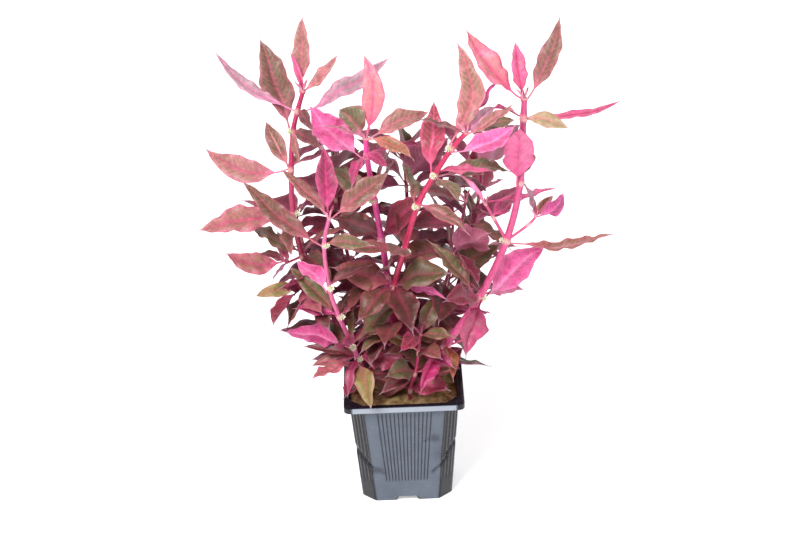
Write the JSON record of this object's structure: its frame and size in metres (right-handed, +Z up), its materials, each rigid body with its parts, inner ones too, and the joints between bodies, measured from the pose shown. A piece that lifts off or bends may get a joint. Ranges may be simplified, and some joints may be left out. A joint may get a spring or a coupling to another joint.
{
  "type": "potted alternanthera reineckii aquarium plant",
  "caption": "Bushy red-leaved aquarium plant grown out of water, with long pointed leaves in pairs on rose-red stems, rooted in a block of mineral wool in a small square black pot.",
  "frame": {"origin": "on the table under the middle of the pot, at the underside of the pot's centre boss", "axes": "+Z up; the pot's front face and the plant's front look along -Y; +X is the front's right"},
  "size_m": [0.3125, 0.1817, 0.37],
  "materials": {
    "brown_leaf": "thin living leaf with a satin sheen",
    "crimson_leaf": "thin living leaf with a satin sheen",
    "hot_pink_leaf": "thin living leaf with a satin sheen",
    "magenta_leaf": "thin living leaf with a satin sheen",
    "mauve_leaf": "thin living leaf with a satin sheen",
    "mineral_wool": "damp fibre block, golden brown, matte",
    "olive_leaf": "thin living leaf with a satin sheen",
    "orange_leaf": "thin living leaf with a satin sheen",
    "pale_pink_leaf": "thin living leaf with a satin sheen",
    "pink_leaf": "thin living leaf with a satin sheen",
    "pot": "thin black polypropylene with a soft shine",
    "rosy_leaf": "thin living leaf with a satin sheen",
    "salmon_leaf": "thin living leaf with a satin sheen",
    "stem": "juicy rose-red stem, faintly shiny, with small leaves grown to it",
    "tan_leaf": "thin living leaf with a satin sheen"
  },
  "bodies": {
    "root": {"back_left_stem": "stem", "back_right_stem": "stem", "back_stem": "stem", "centre_leaf_1": "rosy_leaf", "centre_leaf_2": "magenta_leaf", "centre_leaf_3": "olive_leaf", "centre_leaf_4": "hot_pink_leaf", "centre_leaf_5": "crimson_leaf", "centre_leaf_6": "olive_leaf", "centre_leaf_7": "olive_leaf", "centre_leaf_8": "olive_leaf", "centre_leaf_9": "brown_leaf", "centre_left_leaf_1": "pale_pink_leaf", "centre_left_leaf_2": "olive_leaf", "centre_left_leaf_3": "rosy_leaf", "centre_left_leaf_4": "orange_leaf", "centre_left_leaf_5": "hot_pink_leaf", "centre_left_leaf_6": "olive_leaf", "centre_left_leaf_7": "brown_leaf", "centre_left_stem": "stem", "centre_stem": "stem", "front_left_leaf_1": "magenta_leaf", "front_left_leaf_10": "tan_leaf", "front_left_leaf_2": "brown_leaf", "front_left_leaf_3": "brown_leaf", "front_left_leaf_4": "hot_pink_leaf", "front_left_leaf_5": "olive_leaf", "front_left_leaf_6": "hot_pink_leaf", "front_left_leaf_7": "olive_leaf", "front_left_leaf_8": "olive_leaf", "front_left_leaf_9": "salmon_leaf", "front_left_stem": "stem", "front_stem": "stem", "growing_medium": "mineral_wool", "left_leaf_1": "rosy_leaf", "left_leaf_2": "mauve_leaf", "left_leaf_3": "mauve_leaf", "left_leaf_4": "brown_leaf", "left_leaf_5": "brown_leaf", "left_leaf_6": "salmon_leaf", "left_leaf_7": "salmon_leaf", "left_leaf_8": "salmon_leaf", "left_leaf_9": "crimson_leaf", "left_stem": "stem", "low_back_left_stem": "stem", "low_back_right_stem": "stem", "middle_right_stem": "stem", "pot": "pot", "right_leaf_1": "pale_pink_leaf", "right_leaf_10": "pink_leaf", "right_leaf_11": "hot_pink_leaf", "right_leaf_2": "pink_leaf", "right_leaf_3": "brown_leaf", "right_leaf_4": "pink_leaf", "right_leaf_5": "pink_leaf", "right_leaf_6": "pink_leaf", "right_leaf_7": "rosy_leaf", "right_leaf_8": "hot_pink_leaf", "right_leaf_9": "olive_leaf", "right_stem": "stem"}
  },
  "joints": []
}
